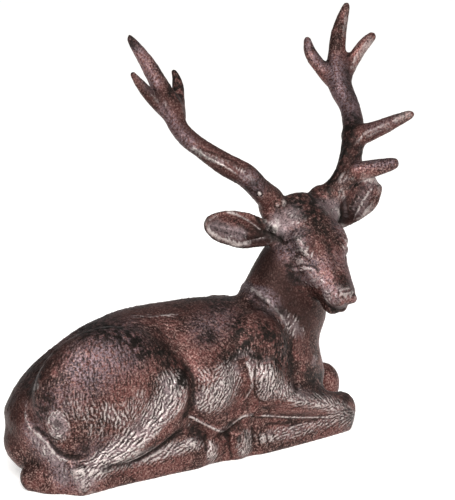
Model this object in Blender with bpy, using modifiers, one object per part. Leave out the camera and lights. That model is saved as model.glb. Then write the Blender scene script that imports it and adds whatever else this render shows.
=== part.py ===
"""Cast-iron ornament of a stag lying down with its head turned to its right.

Metres, +Z up. The stag faces +X and its left side is +Y. It rests on its flat underside at z = 0,
and the origin is under the middle of it. The whole figure is one casting.
"""

import math

import bmesh
import bpy
import numpy as np
from mathutils import Matrix, Vector

# Driving size: from the underside to the highest antler tip
HEIGHT = 0.260

# The figure is drawn on a grid: every number below is in grid parts unless it says otherwise
HEIGHT_PARTS = 253.0
PART = HEIGHT / HEIGHT_PARTS

# Pose of the head: where the top of the skull is, and the turns in degrees
POLL = (81.2, 3.0, 146.8)
HEAD_TURN = -82.5
HEAD_DROP = 43.5
HEAD_ROLL = 4.0

# Spacing of the working skin, and how many rounds its creases are softened
SKIN_STEP = 1.2
BODY_ROUNDS = 70
HEAD_ROUNDS = 22
LAST_ROUNDS = 4
CREASE_RATE = 0.9
EVEN_RATE = 0.12

# Where the head ends: a ball round its middle, above the jaw's lowest level, with soft borders
HEAD_MIDDLE = (30, 0, -8)
HEAD_REACH = 46.0
HEAD_BORDER = 12.0
JAW_DEPTH = 14.0
JAW_BORDER = 8.0

# Facets kept in the end on the head and on the body
HEAD_FACETS = 4800
BODY_FACETS = 5000

# The flanks: how far from the middle and how high they are carved, and how far they face outwards
FLANK_INNER = 8.0
FLANK_TOP = 100.0
FLANK_FACING = 0.15

# How far the block that cuts the underside flat reaches past the figure
CUT_MARGIN = 20.0

# Paint of the casting, as linear colour
RUST_BROWN = (0.105, 0.045, 0.038, 1.0)
ROUGHNESS = 0.45
METALLIC = 0.7

# Trunk, from the rump to the chest: x, y, z, half width, height above, depth below
TRUNK = (
    (-107, -3, 30, 20, 19, 54),
    (-98, -4.5, 34, 27, 26, 64),
    (-82, -4, 38, 33, 34.5, 78),
    (-61, -2, 40, 38, 43, 88),
    (-35, 0, 42, 39, 48.5, 90),
    (-5, 0, 42, 39, 50, 90),
    (22, 0, 42, 37, 49, 90),
    (45, 0, 42, 35, 44, 90),
    (67, 0, 38, 31, 30, 80),
    (82, 0, 33, 24, 18, 70),
)

# Neck, from inside the chest to inside the skull: x, y, z, half width, half depth front to back
NECK = (
    (60, 0, 38, 30, 36),
    (62, 0, 62, 27, 29),
    (67.5, -1.5, 80, 23, 30),
    (71, -2.5, 97, 19.5, 24.5),
    (75.5, -5, 112, 17.5, 20.5),
    (77.5, -7, 122, 16.5, 15.5),
)

# Limbs: x, y out from the middle, z, half width, half height above, and below where it differs
THIGH_BAND = (
    (-25, 36, 54, 9, 11),
    (-29, 39, 41, 8, 10),
    (-42, 41, 29, 7, 8.5),
    (-62, 42, 20, 6.5, 7),
    (-88, 39, 13, 6, 6.5),
)
HIND_CANNON = (
    (-89, 39.5, 5, 6, 6.5, 10),
    (-60, 36, 6.5, 6, 6, 11),
    (-36, 35, 11.5, 6, 6.5, 16),
    (-15, 34.5, 17.5, 6.5, 7, 22),
)
NEAR_FOREARM = (
    (33, 33, 44, 10, 13),
    (55, 34, 30, 9, 8.5),
    (78, 29, 24, 8, 7.5),
    (98, 23, 17, 8, 8.5),
)
FAR_FOREARM = (
    (33, 33, 44, 10, 13),
    (60, 33, 34, 9, 10),
    (84, 27, 29, 9, 9),
    (104, 21, 24, 9, 9),
)
NEAR_CANNON = (
    (101, 20, 9, 7.5, 8, 13),
    (80, 24, 8, 7, 7.5, 12),
    (58, 27.5, 9, 7, 7, 13),
    (34, 31, 10, 6.5, 7, 14),
)
FAR_CANNON = (
    (108, 20, 10, 8, 8, 14),
    (84, 27, 8, 7, 7.5, 12),
    (58, 32, 8, 7, 7, 12),
    (34, 35, 9, 6.5, 7, 13),
)
TAIL = (
    (-94, -2, 58, 6, 3.5),
    (-104, -2, 48, 8, 4.5),
    (-111, -4.5, 35, 8.5, 5),
    (-114, -5, 23, 9, 5.5),
    (-109.5, -7, 12, 6, 4),
)

# Rounded masses of the body: x, y out from the middle, z, three half sizes, tilt about Y in degrees
MASSES = {
    "belly": (-2, 30, 47, 18, 15, 21, 0),
    "shoulder": (36, 22, 62, 22, 17, 24, 0),
    "elbow": (35, 34, 50, 13, 11, 11, 0),
    "withers": (32, 4, 75, 24, 16, 12, 5),
    "hind hoof": (-3, 34, 12, 6.5, 7, 10, 0),
    "front hoof": (16, 34, 12, 7.5, 7, 13, -15),
    "hock": (-90, 36, 13, 7, 7, 8, 0),
}
ONE_SIDED = {
    "near thigh": (-66, -27, 55, 45, 20, 37, 0),
    "near buttock": (-88, -22, 32, 22, 19, 27, 0),
    "far thigh": (-54, 16, 37, 36, 22, 28, 0),
    "far buttock": (-80, 10, 27, 20, 18, 20, 0),
    "near knee": (98, -22, 14, 10.5, 8.5, 12, 0),
    "far knee": (111.5, 19.5, 17, 11.5, 10, 14.5, 0),
    "forearm web": (68, -25, 17, 27, 7, 8, 6),
    "chest": (66.5, 0, 42, 24, 24, 26, 0),
    "heel lump": (-109, -19, 7, 8, 7, 9, 0),
    "rear base": (-91, -23.5, 4, 20, 14, 13, 0),
    "hock base": (-84, -36, 3, 14, 7, 9, 0),
}

# Head along its own axis, in its own grid: forward, left, up, half width, height above, depth below
SKULL = (
    (2, 0, -10, 17, 12.5, 17),
    (9, 0, -11, 20, 15.5, 19),
    (18, 0, -12, 21.5, 18, 20),
    (29, 0, -12, 20.5, 16.5, 18.5),
    (40, 0, -13, 18.5, 14.5, 16.5),
    (50, 0, -13.5, 15.5, 12, 14.5),
    (60, 0, -13.5, 12.5, 10.5, 12.5),
    (68, 0, -13, 10.6, 9.8, 11.5),
)
FACE = {
    "brow": (33, 14, -2.5, 10, 5.5, 4.5, 8),
    "eye": (39.5, 14.5, -8.5, 5, 4.2, 4.2, 0),
    "cheek": (34, 8, -20, 14, 6.5, 8, 0),
    "burr": (2, 19, -6, 8, 7.5, 6, 0),
    "ear base": (12, 20, -8, 9, 8, 7, 0),
    "nostril side": (71, 5, -9, 4.5, 4, 4.5, 0),
    "lip": (66, 3, -21, 8, 6, 4.5, 0),
}

# Ears: root and tip in the head's grid (forward, out, up), the way the hollow faces, and their sizes
EAR_ROOT = (22.0, 16.0, -9.0)
EAR_TIPS = {-1: (4.5, 68.5, -3.0), 1: (1.5, 63.0, -2.0)}
EAR_FACES = {-1: (0.60, 0.12, 0.79), 1: (0.36, 0.0, 0.93)}
EAR_HALF_WIDTHS = (4.0, 6.2, 8.6, 10.2, 10.2, 8.6, 3.6)
EAR_HOLLOW = 6.0
EAR_THICKNESS = 3.0

# Antlers in the head's grid: forward, out, up, radius
ANTLER_FLATNESS = 0.8
RIGHT_ANTLER = {
    "beam": (
        (-1, 17, -3, 9), (-6, 28, 6, 7.6), (-13.5, 37, 12.5, 7.7), (-24, 46.7, 12.5, 7.4),
        (-38, 57, 13, 6.3), (-46.6, 61.8, 13, 6.4), (-57, 63.7, 13, 6.2), (-68.5, 63.8, 16.3, 7.5),
        (-80, 67, 21, 6.2), (-93.5, 71.5, 27.2, 5.0), (-107.5, 82, 38, 2.4),
    ),
    "outer prong": ((-64, 66, 14, 5), (-72, 74.7, 20, 4.8), (-78, 83, 27, 3.8), (-84, 90, 34, 2.3)),
    "inner prong": ((-62, 60, 13, 5), (-72.5, 55.4, 13.6, 4.8), (-83, 51, 16, 3.9), (-90.5, 51.4, 19.6, 2.4)),
    "brow stump": ((-4, 24, 0, 4), (-1, 27, 7, 2.2)),
    "second stump": ((3, 15, -2, 4), (6, 16, 5.5, 2.4)),
}
LEFT_ANTLER = {
    "beam": (
        (5, 22, -5, 7.8), (0.5, 32.5, 3.5, 7.2), (-8.5, 40.5, 9.5, 7), (-22, 49.5, 13, 6.9),
        (-35, 57, 13, 6.6), (-47.6, 61.2, 13, 6.2), (-61.5, 61.9, 14.3, 7.2), (-76, 65, 19.5, 6.4),
        (-92.5, 71.5, 27.2, 5.2), (-106.5, 81, 38, 2.4),
    ),
    "outer prong": ((-66, 66, 16, 5), (-74, 74, 20, 4.2), (-79, 81, 28, 3.7), (-83.2, 90.5, 33.4, 2.4)),
    "inner prong": ((-66, 60, 14, 5), (-76.5, 55.6, 14.6, 4.8), (-88, 51, 18, 4.2), (-96.5, 51.6, 21.6, 2.4)),
    "brow tine": ((-1, 31, 6, 6), (0.5, 40, 12.5, 5.2), (8, 56, 27.5, 2.5)),
    "upper tine": ((-25.5, 50, 12, 6.8), (-20.5, 60, 24, 5.4), (-15, 75, 42.5, 2.5)),
}

# Carving seen on the flank, in grid x and z: the path, its half width, and its depth (raised if negative)
FLANK_CARVING = (
    (((-25, 81), (-18, 70), (-16, 56), (-17, 44), (-20, 34)), 5.0, 2.0),
    (((-26, 31), (-18, 33), (-9, 28), (1, 22), (8, 25), (14, 29), (21, 30)), 2.2, -1.8),
    (((-14, 24), (0, 16), (12, 22)), 5.0, 3.0),
    (((28, 25), (52, 21), (78, 16)), 2.4, 1.0),
    (((23, 60), (24, 46)), 2.0, -1.2),
    (((14, 32), (19, 42), (22, 34)), 4.0, 2.0),
    (((-112, 46), (-104, 29), (-93, 21), (-80, 20)), 3.0, 1.6),
    (((-84, 17), (-60, 14), (-38, 21), (-24, 28)), 1.8, 1.6),
    (((7, 18), (7, 2)), 1.4, 1.2),
    (((32, 104), (42, 90), (52, 76), (57, 58), (60, 42)), 4.0, 1.4),
)

# Carving of the face in the head's grid, in the same terms
FACE_CARVING = (
    (((30, 18, -12), (37, 18.5, -15), (46, 17, -14)), 3.4, 1.4),
    (((33, 17, -3), (42, 16.5, -2.5), (49, 13, -6)), 3.4, 0.9),
    (((73, 5.5, -7), (71, 8.5, -8)), 2.6, 1.5),
    (((77, 2, -15.5), (70, 10, -17.5), (60, 12.5, -18.5)), 2.4, 1.3),
    (((54, 9, -4), (66, 7.5, -5)), 3.5, 0.6),
)


def grid_to_world():
    """The matrix from the figure's grid to metres."""
    return Matrix.Scale(PART, 4)


def head_to_world():
    """The matrix from the head's own grid (forward, left, up) to metres."""
    turn, drop, roll = (math.radians(a) for a in (HEAD_TURN, HEAD_DROP, HEAD_ROLL))
    forward = Vector((math.cos(turn) * math.cos(drop), math.sin(turn) * math.cos(drop), -math.sin(drop)))
    level_left = Vector((-math.sin(turn), math.cos(turn), 0))
    level_up = forward.cross(level_left)
    left = math.cos(roll) * level_left + math.sin(roll) * level_up
    up = math.cos(roll) * level_up - math.sin(roll) * level_left
    axes = Matrix((forward, left, up)).transposed().to_4x4()
    return grid_to_world() @ Matrix.Translation(POLL) @ axes


def smooth_run(rows, steps):
    """Catmull-Rom values through rows of numbers, with so many steps to each stretch."""
    rows = np.array(rows, float)
    rows = np.vstack([2 * rows[0] - rows[1], rows, 2 * rows[-1] - rows[-2]])
    t = np.arange(steps)[:, None] / steps
    stretches = []
    for a, b, c, d in zip(rows, rows[1:], rows[2:], rows[3:]):
        curve = 2 * b + (c - a) * t + (2 * a - 5 * b + 4 * c - d) * t**2 + (3 * b - a - 3 * c + d) * t**3
        stretches.append(curve / 2)
    return np.vstack(stretches + [rows[-2:-1]])


def unit(vectors):
    """The same vectors with length one."""
    return vectors / np.maximum(np.linalg.norm(vectors, axis=-1, keepdims=True), 1e-12)


def add_skin(figure, rings, start, end, frame):
    """Adds a closed skin through equal rings of points, with a point at both ends."""
    rows = [[figure.verts.new(frame @ Vector(p)) for p in ring] for ring in rings]
    count = len(rows[0])
    for row, following in zip(rows, rows[1:]):
        for i in range(count):
            j = (i + 1) % count
            figure.faces.new((row[i], row[j], following[j], following[i]))
    for tip, row, turned in ((start, rows[0], True), (end, rows[-1], False)):
        pole = figure.verts.new(frame @ Vector(tip))
        for i in range(count):
            j = (i + 1) % count
            figure.faces.new((row[j], row[i], pole) if turned else (row[i], row[j], pole))


def add_limb(figure, stations, frame, hint, around=28, dome=1.0, steps=6, cap_steps=4):
    """Adds a rounded form through oval stations: x, y, z, half width, height above and depth below."""
    run = smooth_run(stations, steps)
    centres, wide, high = run[:, :3], run[:, 3], run[:, 4]
    low = run[:, 5] if run.shape[1] > 5 else high
    along = unit(np.gradient(centres, axis=0))
    side = unit(np.cross(hint, along))
    up = np.cross(along, side)
    angles = np.arange(around) * 2 * math.pi / around
    rings = [oval(centres[i], side[i], up[i], (wide[i], high[i], low[i]), angles) for i in range(len(run))]
    tips = []
    for end, outward in ((0, -1), (-1, 1)):
        reach = dome * min(wide[end], high[end])
        cap = []
        for k in range(1, cap_steps):
            turn = math.pi / 2 * k / cap_steps
            centre = centres[end] + outward * math.sin(turn) * reach * along[end]
            sizes = np.array((wide[end], high[end], low[end])) * math.cos(turn)
            cap.append(oval(centre, side[end], up[end], sizes, angles))
        rings = rings + cap if outward > 0 else cap[::-1] + rings
        tips.append(centres[end] + outward * reach * along[end])
    add_skin(figure, rings, tips[0], tips[1], frame)


def oval(centre, side, up, sizes, angles):
    """Points of an oval whose upper and lower halves may differ in height."""
    wide, high, low = sizes
    across = np.cos(angles)[:, None] * side * wide
    rise = np.sin(angles)[:, None]
    return centre + across + rise * np.where(rise > 0, high, low) * up


def add_mass(figure, mass, frame, side=1):
    """Adds a rounded mass: its place, three half sizes and tilt about Y."""
    x, y, z, long, wide, high, tilt = mass
    place = Matrix.Translation((x, y * side, z)) @ Matrix.Rotation(math.radians(tilt), 4, "Y")
    shape = place @ Matrix.Diagonal((long, wide, high, 1))
    bmesh.ops.create_icosphere(figure, subdivisions=4, radius=1, matrix=frame @ shape)


def mirrored(stations, side):
    """Stations whose second number counts out from the middle, on one side."""
    return [(s[0], s[1] * side, *s[2:]) for s in stations]


def add_body(figure):
    """Adds the trunk, neck, tail, limbs and the masses of both sides."""
    frame = grid_to_world()
    add_limb(figure, TRUNK, frame, hint=(0, 0, 1), around=48, dome=0.4)
    add_limb(figure, NECK, frame, hint=(-1, 0, 0), around=40, dome=0.6)
    add_limb(figure, TAIL, frame, hint=(-1, 0, 0))
    for side in (-1, 1):
        for limb in (THIGH_BAND, HIND_CANNON):
            add_limb(figure, mirrored(limb, side), frame, hint=(0, 0, 1))
        for mass in MASSES.values():
            add_mass(figure, mass, frame, side)
    for limb in (NEAR_FOREARM, NEAR_CANNON):
        add_limb(figure, mirrored(limb, -1), frame, hint=(0, 0, 1))
    for limb in (FAR_FOREARM, FAR_CANNON):
        add_limb(figure, mirrored(limb, 1), frame, hint=(0, 0, 1))
    for mass in ONE_SIDED.values():
        add_mass(figure, mass, frame)


def add_ear(figure, side, frame):
    """Adds a leaf-shaped ear, hollow on the side that faces forward."""
    root = np.array(EAR_ROOT) * (1, side, 1)
    tip = np.array(EAR_TIPS[side]) * (1, side, 1)
    facing = np.array(EAR_FACES[side]) * (1, side, 1)
    along = unit(tip - root)
    across = unit(np.cross(facing, along))
    back = np.cross(along, across)
    back = -unit(back) if back @ facing > 0 else unit(back)
    halves = smooth_run(np.array(EAR_HALF_WIDTHS)[:, None], 4)[:, 0]
    leaf = bmesh.new()
    rows = []
    for i, half in enumerate(halves):
        share = i / (len(halves) - 1)
        sink = EAR_HOLLOW * min(1, half / EAR_HALF_WIDTHS[2])
        row = []
        for t in np.linspace(-1, 1, 13):
            place = root + (tip - root) * share + across * half * t + back * sink * (1 - t * t)
            row.append(leaf.verts.new(frame @ Vector(place)))
        rows.append(row)
    for row, following in zip(rows, rows[1:]):
        for a, b, c, d in zip(row, row[1:], following[1:], following):
            leaf.faces.new((a, b, c, d))
    bmesh.ops.recalc_face_normals(leaf, faces=leaf.faces)
    join_thickened(figure, leaf, EAR_THICKNESS * PART)


def join_thickened(figure, sheet, thickness):
    """Gives an open sheet its thickness and adds it to the figure."""
    mesh = bpy.data.meshes.new("sheet")
    sheet.to_mesh(mesh)
    sheet.free()
    thing = bpy.data.objects.new("sheet", mesh)
    bpy.context.scene.collection.objects.link(thing)
    solidify = thing.modifiers.new("Thickness", "SOLIDIFY")
    solidify.thickness = thickness
    solidify.offset = 0
    bpy.context.view_layer.update()
    thick = bpy.data.meshes.new_from_object(thing.evaluated_get(bpy.context.evaluated_depsgraph_get()))
    figure.from_mesh(thick)
    bpy.data.objects.remove(thing)


def add_head(figure):
    """Adds the skull, face, ears and antlers in the head's own grid."""
    frame = head_to_world()
    add_limb(figure, SKULL, frame, hint=(0, 0, 1), around=40, dome=0.6)
    for side in (-1, 1):
        for mass in FACE.values():
            add_mass(figure, mass, frame, side)
        add_ear(figure, side, frame)
    for side, antler in ((-1, RIGHT_ANTLER), (1, LEFT_ANTLER)):
        for stations in antler.values():
            ovals = [(a, out * side, up, r, r * ANTLER_FLATNESS) for a, out, up, r in stations]
            add_limb(figure, ovals, frame, hint=(0.33, 0, 0.94), around=20)


def one_skin(figure):
    """Melts the overlapping forms into one even skin of small quads."""
    mesh = bpy.data.meshes.new("forms")
    figure.to_mesh(mesh)
    figure.free()
    forms = bpy.data.objects.new("forms", mesh)
    bpy.context.scene.collection.objects.link(forms)
    remesh = forms.modifiers.new("One skin", "REMESH")
    remesh.mode = "VOXEL"
    remesh.voxel_size = SKIN_STEP * PART
    bpy.context.view_layer.update()
    skin = bpy.data.meshes.new_from_object(forms.evaluated_get(bpy.context.evaluated_depsgraph_get()))
    bpy.data.objects.remove(forms)
    return skin


class Skin:
    """The working skin as arrays: points in grid parts, edges and faces."""

    def __init__(self, mesh):
        self.mesh = mesh
        self.points = np.empty(len(mesh.vertices) * 3)
        mesh.vertices.foreach_get("co", self.points)
        self.points = self.points.reshape(-1, 3) / PART
        self.edges = np.empty(len(mesh.edges) * 2, int)
        mesh.edges.foreach_get("vertices", self.edges)
        self.edges = self.edges.reshape(-1, 2)
        self.quads = np.empty(len(mesh.loops), int)
        mesh.loops.foreach_get("vertex_index", self.quads)
        self.quads = self.quads.reshape(-1, 4)
        self.valence = np.bincount(self.edges.ravel(), minlength=len(self.points))[:, None]

    def normals(self):
        """Outward directions at the points."""
        corners = self.points[self.quads]
        faces = np.cross(corners[:, 2] - corners[:, 0], corners[:, 3] - corners[:, 1])
        sums = np.zeros_like(self.points)
        for corner in self.quads.T:
            for axis in range(3):
                sums[:, axis] += np.bincount(corner, faces[:, axis], len(self.points))
        return unit(sums)

    def pull(self):
        """From each point to the middle of its neighbours."""
        sums = np.zeros_like(self.points)
        for here, there in (self.edges.T, self.edges.T[::-1]):
            for axis in range(3):
                sums[:, axis] += np.bincount(here, self.points[there, axis], len(self.points))
        return sums / self.valence - self.points

    def soften(self, rounds, where):
        """Fills the creases, and evens the rest a little."""
        for _ in range(rounds):
            normals = self.normals()
            pull = self.pull()
            lift = (pull * normals).sum(axis=1, keepdims=True)
            rate = np.where(lift > 0, CREASE_RATE, EVEN_RATE)
            self.points += where * (rate * lift * normals + 0.5 * (pull - lift * normals))

    def store(self):
        """Puts the points back into the mesh."""
        self.mesh.vertices.foreach_set("co", (self.points * PART).ravel())
        self.mesh.update()


def distance_to_path(places, path):
    """How far each place is from a run of straight pieces."""
    nearest = np.full(len(places), np.inf)
    for start, end in zip(path, path[1:]):
        piece = end - start
        share = np.clip(((places - start) @ piece) / (piece @ piece), 0, 1)
        gaps = np.linalg.norm(places - start - share[:, None] * piece, axis=1)
        nearest = np.minimum(nearest, gaps)
    return nearest


def carve_flanks(skin):
    """Presses and raises the carving of both flanks."""
    for side in (-1, 1):
        normals = skin.normals()
        on_side = (skin.points[:, 1] * side > FLANK_INNER) & (normals[:, 1] * side > FLANK_FACING)
        chosen = np.flatnonzero(on_side & (skin.points[:, 2] < FLANK_TOP))
        for path, half_width, depth in FLANK_CARVING:
            curve = smooth_run(path, 4)
            gaps = distance_to_path(skin.points[chosen][:, (0, 2)], curve)
            amount = depth * np.exp(-((gaps / half_width) ** 2))
            skin.points[chosen] -= amount[:, None] * normals[chosen]


def carve_face(skin):
    """Presses the eye sockets, nostrils and mouth into both sides of the face."""
    to_head = np.array(head_to_world().inverted())
    for side in (-1, 1):
        normals = skin.normals()
        places = skin.points * PART @ to_head[:3, :3].T + to_head[:3, 3]
        for path, half_width, depth in FACE_CARVING:
            curve = smooth_run(np.array(path) * (1, side, 1), 4)
            amount = depth * np.exp(-((distance_to_path(places, curve) / half_width) ** 2))
            skin.points -= amount[:, None] * normals


def head_mask(skin):
    """One on the body, falling to nought on the head, ears and antlers."""
    centre = np.array(head_to_world() @ Vector(HEAD_MIDDLE)) / PART
    near = np.linalg.norm(skin.points - centre, axis=1) - HEAD_REACH
    above = POLL[2] - JAW_DEPTH - skin.points[:, 2]
    return np.clip(np.minimum(near / HEAD_BORDER, above / JAW_BORDER), 0, 1)[:, None]


def fewer_facets(thing, name, chosen, before, after):
    """Thins the facets among the chosen points, from so many on the whole figure to so many."""
    group = thing.vertex_groups.new(name=name)
    group.add(np.flatnonzero(chosen).tolist(), 1.0, "REPLACE")
    fewer = thing.modifiers.new(name, "DECIMATE")
    fewer.vertex_group = group.name
    fewer.vertex_group_factor = 0
    fewer.ratio = after / before


def thin_skin(deer, skin, mask):
    """Thins the facets of the head first, where they stay finer, and then those of the body."""
    on_head = mask[:, 0] < 1
    whole = 2 * len(skin.quads)
    head = 2 * np.count_nonzero(on_head[skin.quads].all(axis=1))
    between = whole - head + HEAD_FACETS
    fewer_facets(deer, "head facets", on_head, whole, between)
    fewer_facets(deer, "body facets", mask[:, 0] > 0, between, HEAD_FACETS + BODY_FACETS)


def ground_block(points):
    """The block that cuts the underside flat, a margin larger than the figure."""
    depth = CUT_MARGIN - points[:, 2].min()
    span = 2 * (CUT_MARGIN + np.abs(points).max())
    bpy.ops.mesh.primitive_cube_add(size=1, location=(0, 0, -depth * PART / 2))
    block = bpy.context.object
    block.name = "ground_block"
    block.scale = (span * PART, span * PART, depth * PART)
    block.hide_render = True
    block.display_type = "WIRE"
    return block


def cast_iron():
    """Rusty brown painted cast iron."""
    material = bpy.data.materials.new("painted cast iron")
    material.use_nodes = True
    shader = material.node_tree.nodes["Principled BSDF"]
    shader.inputs["Base Color"].default_value = RUST_BROWN
    shader.inputs["Roughness"].default_value = ROUGHNESS
    shader.inputs["Metallic"].default_value = METALLIC
    return material


def clear_scene():
    for thing in list(bpy.data.objects):
        bpy.data.objects.remove(thing)


def collection(name):
    """A new collection in the scene."""
    made = bpy.data.collections.new(name)
    bpy.context.scene.collection.children.link(made)
    return made


def move_to(thing, group):
    """Keeps the object in one collection only."""
    for other in list(thing.users_collection):
        other.objects.unlink(thing)
    group.objects.link(thing)


def settle(deer, block):
    """Moves the casting so that the origin is under the middle of it."""
    origin = bpy.data.objects.new("deer_origin", None)
    bpy.context.scene.collection.objects.link(origin)
    deer.parent = origin
    block.parent = origin
    bpy.context.view_layer.update()
    shape = deer.evaluated_get(bpy.context.evaluated_depsgraph_get()).to_mesh()
    points = np.array([v.co for v in shape.vertices])
    middle = (points.min(axis=0) + points.max(axis=0)) / 2
    origin.location = (-middle[0], -middle[1], -points[:, 2].min())
    bpy.context.view_layer.update()
    return origin


def build():
    """Makes the deer as one object."""
    clear_scene()
    parts = collection("deer ornament")
    cutters = collection("cutters")
    figure = bmesh.new()
    add_body(figure)
    add_head(figure)
    skin = Skin(one_skin(figure))
    mask = head_mask(skin)
    skin.soften(BODY_ROUNDS - HEAD_ROUNDS, mask)
    skin.soften(HEAD_ROUNDS, 1.0)
    carve_flanks(skin)
    carve_face(skin)
    skin.soften(LAST_ROUNDS, mask)
    skin.store()

    deer = bpy.data.objects.new("deer", skin.mesh)
    parts.objects.link(deer)
    deer.data.materials.append(cast_iron())
    thin_skin(deer, skin, mask)
    block = ground_block(skin.points)
    move_to(block, cutters)
    flat = deer.modifiers.new("Flat underside", "BOOLEAN")
    flat.operation = "DIFFERENCE"
    flat.object = block
    flat.solver = "EXACT"
    return settle(deer, block)


origin = build()
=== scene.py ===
"""Looks of a cast-iron deer ornament: one painted, rubbed casting on a pale studio floor.

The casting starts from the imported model's form. The fine relief is sculpted on it: fur strokes, folds,
eyes, ears and the rough skin of a sand casting. Lengths are in millimetres unless a name says otherwise.
"""

import math

import bmesh
import bpy
import numpy as np
from mathutils import Matrix, Vector
from mathutils.bvhtree import BVHTree
from mathutils.kdtree import KDTree


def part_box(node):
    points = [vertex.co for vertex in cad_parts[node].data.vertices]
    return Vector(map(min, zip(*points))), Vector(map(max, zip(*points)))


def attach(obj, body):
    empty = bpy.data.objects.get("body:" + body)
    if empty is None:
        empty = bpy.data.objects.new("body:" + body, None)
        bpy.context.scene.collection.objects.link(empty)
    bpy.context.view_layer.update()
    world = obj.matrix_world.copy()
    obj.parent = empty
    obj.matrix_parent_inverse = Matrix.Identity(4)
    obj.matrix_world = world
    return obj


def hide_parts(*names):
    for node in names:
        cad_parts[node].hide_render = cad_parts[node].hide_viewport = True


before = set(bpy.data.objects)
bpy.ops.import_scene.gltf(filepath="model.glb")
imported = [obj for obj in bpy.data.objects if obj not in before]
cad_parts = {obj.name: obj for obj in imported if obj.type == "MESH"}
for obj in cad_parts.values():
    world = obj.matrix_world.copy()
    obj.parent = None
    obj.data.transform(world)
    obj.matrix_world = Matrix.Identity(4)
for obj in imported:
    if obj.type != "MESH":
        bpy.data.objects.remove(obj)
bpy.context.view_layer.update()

bl_info = {
    "name": "Deer ornament",
    "version": (1, 0, 0),
    "blender": (4, 5, 0),
    "location": "3D View > Sidebar > Deer",
    "description": "Sculpts, finishes and lights the cast-iron deer",
    "category": "Object",
}

MM = 0.001

# Fine hair in the finish: directions drawn, the length and width of a hair in mm, and how sharply a direction
# gives way to the next. The real hair is about half as wide, too fine to show.
HAIR_TURNS = 6
HAIR_LENGTH = 5.0
HAIR_WIDTH = 0.95
HAIR_FOCUS = 4.0

# Patterns of the finish: name, size in mm, detail and roughness. The real grain of about 0.3 mm is too fine
# to show, so grain and fleck are drawn at about 1 mm.
PATTERNS = (
    ("cloud", 16, 3, 0.55),
    ("blotch", 7, 6, 0.75),
    ("ragged", 4, 5, 0.75),
    ("grain", 1.1, 3, 0.65),
    ("fleck", 1.3, 3, 0.6),
    ("sheen", 2.0, 3, 0.55),
)

# How the patterns, the wear and the painted shade and highlights make masks: name, what is done, and what it
# is done with
MASKS = (
    ("deep", "RAMP", "cloud", (0.4, 0.62)),
    # a random deeper tone from the cloud, and painted shade in the shady zones
    ("deep_tone_and_shade", "MAXIMUM", "deep", "shady"),
    ("pale", "RAMP", "grain", (0.5, 0.66)),
    # fewer pale specks where shade is painted
    ("less_specks", "MULTIPLY", "shady", -0.7),
    ("more_specks", "ADD", "less_specks", 0.9),
    ("pale_specks", "MULTIPLY", "pale", "more_specks"),
    ("dark", "RAMP", "grain", (0.47, 0.34)),
    ("dark_specks", "MULTIPLY", "dark", "more_specks"),
    ("shade", "MULTIPLY", "shady", 0.4),
    ("bloom", "RAMP", "fleck", (0.36, 0.6)),
    # violet bloom, partly a painted sheen
    ("bloom_and_sheen_there", "MULTIPLY", "bloom", "violet"),
    ("bloom_and_sheen_amount", "MULTIPLY", "bloom_and_sheen_there", 0.6),
    ("stain", "RAMP", "ragged", (0.36, 0.56)),
    # patina stains, partly painted shade in recesses
    ("stain_and_shade_there", "MULTIPLY", "stain", "darkened"),
    ("far_stain", "RAMP", "blotch", (0.58, 0.68)),
    ("some_stain", "MULTIPLY", "far_stain", 0.8),
    ("patina_and_shade_patches", "MAXIMUM", "stain_and_shade_there", "some_stain"),
    # rubbed metal, partly painted highlight where light falls on the forms
    ("shaded_rub", "MULTIPLY", "high", 0.3),
    ("rub_highlight_and_high", "ADD", "rubbed_and_highlit", "shaded_rub"),
    ("rub_highlight_ragged", "ADD", "rub_highlight_and_high", "ragged"),
    ("bare", "RAMP", "rub_highlight_ragged", (0.8, 1.75)),
    ("bare_metal_and_highlight", "MULTIPLY", "bare", 0.75),
    ("crest", "ADD", "high", "fleck"),
    ("crest_light", "RAMP", "crest", (0.8, 1.4)),
    ("bare_crest_and_highlight", "MULTIPLY", "crest_light", "bare"),
    ("bright_metal_and_highlight", "MULTIPLY", "bare_crest_and_highlight", 0.8),
    ("between_hairs", "RAMP", "hair", (0.47, 0.36)),
    ("hair_lines", "MULTIPLY", "between_hairs", 0.6),
    # patina in the fine grooves, and painted shade in the broad hollows
    ("dark_hollows_and_shade", "MULTIPLY", "hollow_patina_and_shade", 0.85),
    ("valley_patina_and_shade", "MAXIMUM", "dark_hollows_and_shade", "hair_lines"),
    ("rough_hair", "MULTIPLY", "hair", 0.9),
    ("rough_grain", "MULTIPLY", "grain", 0.7),
    ("roughness", "ADD", "rough_hair", "rough_grain"),
)

# How metallic the paint looks, how strongly it mirrors, and the least and most roughness of its sheen
METALLIC = 0.75
MIRRORING = 0.25
SHEEN_NOISE = (0.3, 0.7)
SHEEN_ROUGHNESS = (0.42, 0.6)
BUMP_STRENGTH = 0.7
BUMP_HEIGHT = 0.35

# Colours laid over the paint in order: the mask and the colour. Deep paint and patina also lay painted shade,
# worn and rubbed metal also lay painted highlight, and violet also lays a painted sheen
LAYERS = (
    ("deep_tone_and_shade", "deep_paint_and_shade"),
    ("pale_specks", "speck"),
    ("shade", "patina_and_shade"),
    ("bloom_and_sheen_amount", "violet"),
    ("bare_metal_and_highlight", "worn_and_highlit"),
    ("bright_metal_and_highlight", "rub"),
    ("patina_and_shade_patches", "patina_and_shade"),
    ("dark_specks", "patina_and_shade"),
    ("valley_patina_and_shade", "patina_and_shade"),
)

# The camera of the photograph: where it aims, its angles, distance and lens
AIM = Vector((-5.6, -30.0, 128.9)) * MM
VIEW_TURN = math.radians(-30)
VIEW_RISE = math.radians(14)
VIEW_DISTANCE = 1.233
VIEW_LENS = 147.6
VIEW_SENSOR = 36.0
PICTURE = (455, 500)

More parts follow.
